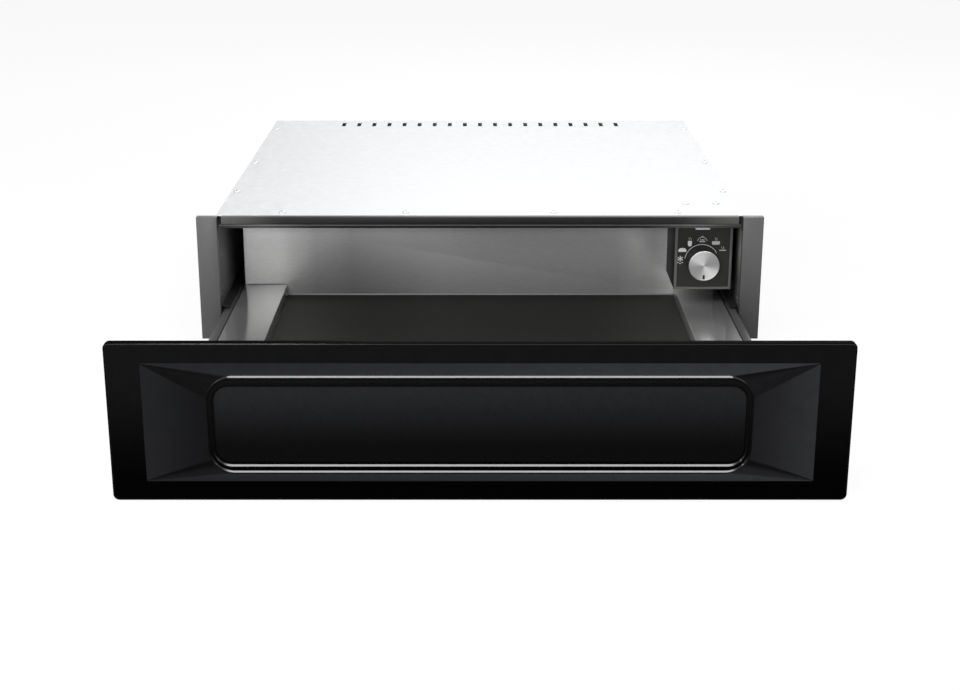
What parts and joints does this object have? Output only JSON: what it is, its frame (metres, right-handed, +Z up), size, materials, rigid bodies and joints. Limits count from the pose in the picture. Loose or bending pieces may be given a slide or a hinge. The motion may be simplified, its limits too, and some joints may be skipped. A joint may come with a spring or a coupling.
{
  "type": "built-in warming drawer",
  "caption": "Push-to-open built-in warming drawer with a raised panel front, telescopic slides, a heated tray space, a thermostat knob and a fan heater.",
  "frame": {"origin": "centre of the open object's box, on the floor under the feet", "axes": "+X to the right seen from the front, +Y from the front to the rear, which is the way the drawer closes, +Z up"},
  "size_m": [0.597, 0.923, 0.14],
  "materials": {
    "black_enamel": "gloss",
    "dark_satin": "satin",
    "black_sheet": "satin",
    "galvanised": "matte",
    "brushed_steel": "brushed",
    "floor_mat": "matte",
    "slide_black": "satin",
    "bright_steel": "polished",
    "black_plastic": "matte",
    "fascia_black": "matte",
    "frame_grey": "satin",
    "lens_white": "gloss",
    "spun_aluminium": "spun",
    "ivory_plastic": "matte",
    "brass": "satin",
    "heater_tube": "oxidised",
    "rubber": "matte",
    "board_green": "gloss",
    "motor_zinc": "matte"
  },
  "bodies": {
    "casing": {"base_pan": "galvanised", "left_side_wall": "black_sheet", "right_side_wall": "black_sheet", "top_cover": "galvanised", "rear_panel": "galvanised", "rear_bulkhead": "galvanised", "front_rail": "dark_satin", "rail_lip": "dark_satin", "left_trim": "dark_satin", "right_trim": "dark_satin", "feet": "rubber", "casing_screws": "bright_steel", "cable_gland": "black_plastic", "terminal_block": "ivory_plastic", "wiring_duct": "black_plastic", "wiring_loom": "rubber", "fan_motor": "motor_zinc", "motor_bracket": "galvanised", "heating_ring": "heater_tube", "thermal_cutout": "ivory_plastic", "control_box": "black_sheet", "fascia_frame": "frame_grey", "control_fascia": "fascia_black", "indicator_lens": "lens_white", "led_board": "board_green", "thermostat_body": "ivory_plastic", "thermostat_nut": "brass", "latch_body": "black_plastic", "latch_spring": "bright_steel", "left_slide_outer": "slide_black", "right_slide_outer": "slide_black", "slide_screws": "bright_steel"},
    "drawer": {"front_panel": "black_enamel", "panel_carrier": "black_sheet", "panel_buffers": "rubber", "panel_screws": "bright_steel", "tray_base": "galvanised", "tray_front_wall": "brushed_steel", "tray_rear_wall": "brushed_steel", "floor_mat": "floor_mat", "left_ledge_cover": "brushed_steel", "right_ledge_cover": "brushed_steel", "tray_screws": "bright_steel", "latch_striker": "galvanised", "left_slide_inner": "slide_black", "right_slide_inner": "slide_black"},
    "knob": {"thermostat_shaft": "bright_steel", "knob_skirt": "black_plastic", "knob_cap": "spun_aluminium"},
    "fan": {"fan_impeller": "galvanised", "fan_shaft": "bright_steel"},
    "left_middle_member": {"left_slide_middle": "slide_black"},
    "right_middle_member": {"right_slide_middle": "slide_black"},
    "left_outer_ball_cage": {"left_outer_cage": "bright_steel"},
    "right_outer_ball_cage": {"right_outer_cage": "bright_steel"},
    "left_inner_ball_cage": {"left_inner_cage": "bright_steel"},
    "right_inner_ball_cage": {"right_inner_cage": "bright_steel"},
    "plunger": {"latch_plunger": "bright_steel"}
  },
  "joints": [
    {"name": "drawer_slide", "type": "slide", "parent": "casing", "child": "drawer", "axis": [0, 1, 0], "range_m": [0, 0.362]},
    {"name": "left_middle_slide", "type": "slide", "parent": "casing", "child": "left_middle_member", "axis": [0, 1, 0], "range_m": [0, 0.181]},
    {"name": "left_outer_cage_slide", "type": "slide", "parent": "casing", "child": "left_outer_ball_cage", "axis": [0, 1, 0], "range_m": [0, 0.0905]},
    {"name": "left_inner_cage_slide", "type": "slide", "parent": "casing", "child": "left_inner_ball_cage", "axis": [0, 1, 0], "range_m": [0, 0.2715]},
    {"name": "right_middle_slide", "type": "slide", "parent": "casing", "child": "right_middle_member", "axis": [0, 1, 0], "range_m": [0, 0.181]},
    {"name": "right_outer_cage_slide", "type": "slide", "parent": "casing", "child": "right_outer_ball_cage", "axis": [0, 1, 0], "range_m": [0, 0.0905]},
    {"name": "right_inner_cage_slide", "type": "slide", "parent": "casing", "child": "right_inner_ball_cage", "axis": [0, 1, 0], "range_m": [0, 0.2715]},
    {"name": "knob_turn", "type": "hinge", "parent": "casing", "child": "knob", "pos_m": [0.2326, -0.0437, 0.0852], "axis": [0, 1, 0], "range_deg": [0, 242]},
    {"name": "fan_spin", "type": "hinge", "parent": "casing", "child": "fan", "pos_m": [0, 0.4165, 0.072], "axis": [0, 1, 0], "continuous": true},
    {"name": "latch_press", "type": "slide", "parent": "casing", "child": "plunger", "axis": [0, 1, 0], "range_m": [0, 0.004], "stiffness_N_per_m": 300, "deforming": ["latch_spring"]}
  ],
  "couplings": [
    {"joint": "left_middle_slide", "follows": "drawer_slide", "ratio": 0.5},
    {"joint": "left_outer_cage_slide", "follows": "drawer_slide", "ratio": 0.25},
    {"joint": "left_inner_cage_slide", "follows": "drawer_slide", "ratio": 0.75},
    {"joint": "right_middle_slide", "follows": "drawer_slide", "ratio": 0.5},
    {"joint": "right_outer_cage_slide", "follows": "drawer_slide", "ratio": 0.25},
    {"joint": "right_inner_cage_slide", "follows": "drawer_slide", "ratio": 0.75}
  ]
}
